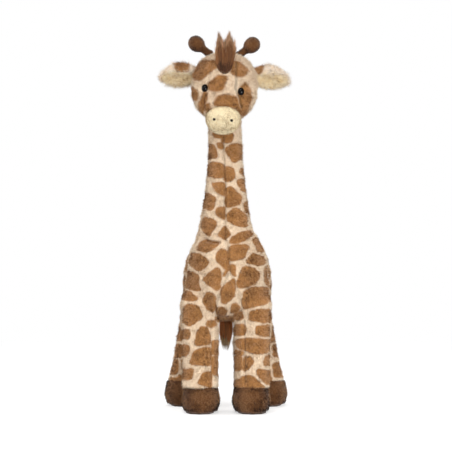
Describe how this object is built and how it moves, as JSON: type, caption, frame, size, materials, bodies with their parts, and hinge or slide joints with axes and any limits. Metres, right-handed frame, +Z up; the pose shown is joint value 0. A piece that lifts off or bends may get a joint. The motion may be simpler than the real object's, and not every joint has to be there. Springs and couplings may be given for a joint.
{
  "type": "plush giraffe",
  "caption": "Standing stuffed giraffe with a swelling torso, long neck, patched pile covers, soft horns, ears, mane, forelock, tail and weighted hooves.",
  "frame": {"origin": "on the floor, under the middle of the toy's bounding box", "axes": "+Z up, the face looks along -Y, the animal's left is +X"},
  "size_m": [0.1914, 0.2128, 0.5614],
  "materials": {
    "plush_patched": "short pile plush, cream with caramel patches",
    "plush_dark": "short pile plush, dark brown",
    "plush_muzzle": "short pile plush, pale straw",
    "plush_ear": "short pile plush, pale straw",
    "long_pile": "long pile, mid brown",
    "long_pile_dark": "long pile, dark brown",
    "embroidery_thread": "satin stitch",
    "fibre_filling": "loose polyester fibre",
    "pellet_pouch": "woven pouch of pellets",
    "eye_plastic": "polished",
    "washer_plastic": "moulded"
  },
  "bodies": {
    "torso": {"torso_cover": "plush_patched", "belly_gusset": "plush_patched", "torso_stuffing": "fibre_filling"},
    "neck": {"neck_cover": "plush_patched", "neck_stuffing": "fibre_filling", "mane": "long_pile"},
    "head": {"head_cover": "plush_patched", "head_stuffing": "fibre_filling", "muzzle_cover": "plush_muzzle", "muzzle_stuffing": "fibre_filling", "forelock": "long_pile", "mouth_stitch": "embroidery_thread", "eye_right": "eye_plastic", "eye_left": "eye_plastic", "eye_washer_right": "washer_plastic", "eye_washer_left": "washer_plastic", "nostril_right": "embroidery_thread", "nostril_left": "embroidery_thread"},
    "ear_right": {"ear_cover_right": "plush_patched", "ear_lining_right": "plush_ear"},
    "ear_left": {"ear_cover_left": "plush_patched", "ear_lining_left": "plush_ear"},
    "horn_right": {"horn_cover_right": "plush_dark", "horn_stuffing_right": "fibre_filling"},
    "horn_left": {"horn_cover_left": "plush_dark", "horn_stuffing_left": "fibre_filling"},
    "leg_front_right": {"leg_cover_front_right": "plush_patched", "leg_stuffing_front_right": "fibre_filling", "hoof_cover_front_right": "plush_dark", "hoof_sole_front_right": "plush_dark", "hoof_pouch_front_right": "pellet_pouch"},
    "leg_front_left": {"leg_cover_front_left": "plush_patched", "leg_stuffing_front_left": "fibre_filling", "hoof_cover_front_left": "plush_dark", "hoof_sole_front_left": "plush_dark", "hoof_pouch_front_left": "pellet_pouch"},
    "leg_rear_right": {"leg_cover_rear_right": "plush_patched", "leg_stuffing_rear_right": "fibre_filling", "hoof_cover_rear_right": "plush_dark", "hoof_sole_rear_right": "plush_dark", "hoof_pouch_rear_right": "pellet_pouch"},
    "leg_rear_left": {"leg_cover_rear_left": "plush_patched", "leg_stuffing_rear_left": "fibre_filling", "hoof_cover_rear_left": "plush_dark", "hoof_sole_rear_left": "plush_dark", "hoof_pouch_rear_left": "pellet_pouch"},
    "tail": {"tail_cord": "plush_patched", "tail_tassel": "long_pile_dark"}
  },
  "joints": [
    {"name": "neck_bend", "type": "hinge", "parent": "torso", "child": "neck", "pos_m": [0, -0.03, 0.227], "axis": [1, 0, 0], "range_deg": [-15, 15], "stiffness_Nm_per_rad": 2},
    {"name": "head_tilt", "type": "hinge", "parent": "neck", "child": "head", "pos_m": [-0.00239, -0.03, 0.47099], "axis": [0, 1, 0], "range_deg": [-15, 15], "stiffness_Nm_per_rad": 1},
    {"name": "ear_flap_right", "type": "hinge", "parent": "head", "child": "ear_right", "pos_m": [-0.04838, -0.04467, 0.49777], "axis": [0, 1, 0], "range_deg": [-20, 20], "stiffness_Nm_per_rad": 0.02},
    {"name": "ear_flap_left", "type": "hinge", "parent": "head", "child": "ear_left", "pos_m": [0.04484, -0.04468, 0.49548], "axis": [0, 1, 0], "range_deg": [-20, 20], "stiffness_Nm_per_rad": 0.02},
    {"name": "horn_bend_right", "type": "hinge", "parent": "head", "child": "horn_right", "pos_m": [-0.02229, -0.04795, 0.52704], "axis": [0, 1, 0], "range_deg": [-15, 15], "stiffness_Nm_per_rad": 0.02},
    {"name": "horn_bend_left", "type": "hinge", "parent": "head", "child": "horn_left", "pos_m": [0.02022, -0.04795, 0.52599], "axis": [0, 1, 0], "range_deg": [-15, 15], "stiffness_Nm_per_rad": 0.02},
    {"name": "leg_swing_front_right", "type": "hinge", "parent": "torso", "child": "leg_front_right", "pos_m": [-0.037, -0.036, 0.158], "axis": [1, 0, 0], "range_deg": [-12, 12], "stiffness_Nm_per_rad": 1},
    {"name": "leg_swing_front_left", "type": "hinge", "parent": "torso", "child": "leg_front_left", "pos_m": [0.037, -0.036, 0.158], "axis": [1, 0, 0], "range_deg": [-12, 12], "stiffness_Nm_per_rad": 1},
    {"name": "leg_swing_rear_right", "type": "hinge", "parent": "torso", "child": "leg_rear_right", "pos_m": [-0.037, 0.065, 0.16], "axis": [1, 0, 0], "range_deg": [-12, 12], "stiffness_Nm_per_rad": 1},
    {"name": "leg_swing_rear_left", "type": "hinge", "parent": "torso", "child": "leg_rear_left", "pos_m": [0.037, 0.065, 0.16], "axis": [1, 0, 0], "range_deg": [-12, 12], "stiffness_Nm_per_rad": 1},
    {"name": "tail_swing", "type": "hinge", "parent": "torso", "child": "tail", "pos_m": [0, 0.09696, 0.19098], "axis": [1, 0, 0], "range_deg": [0, 75]}
  ]
}
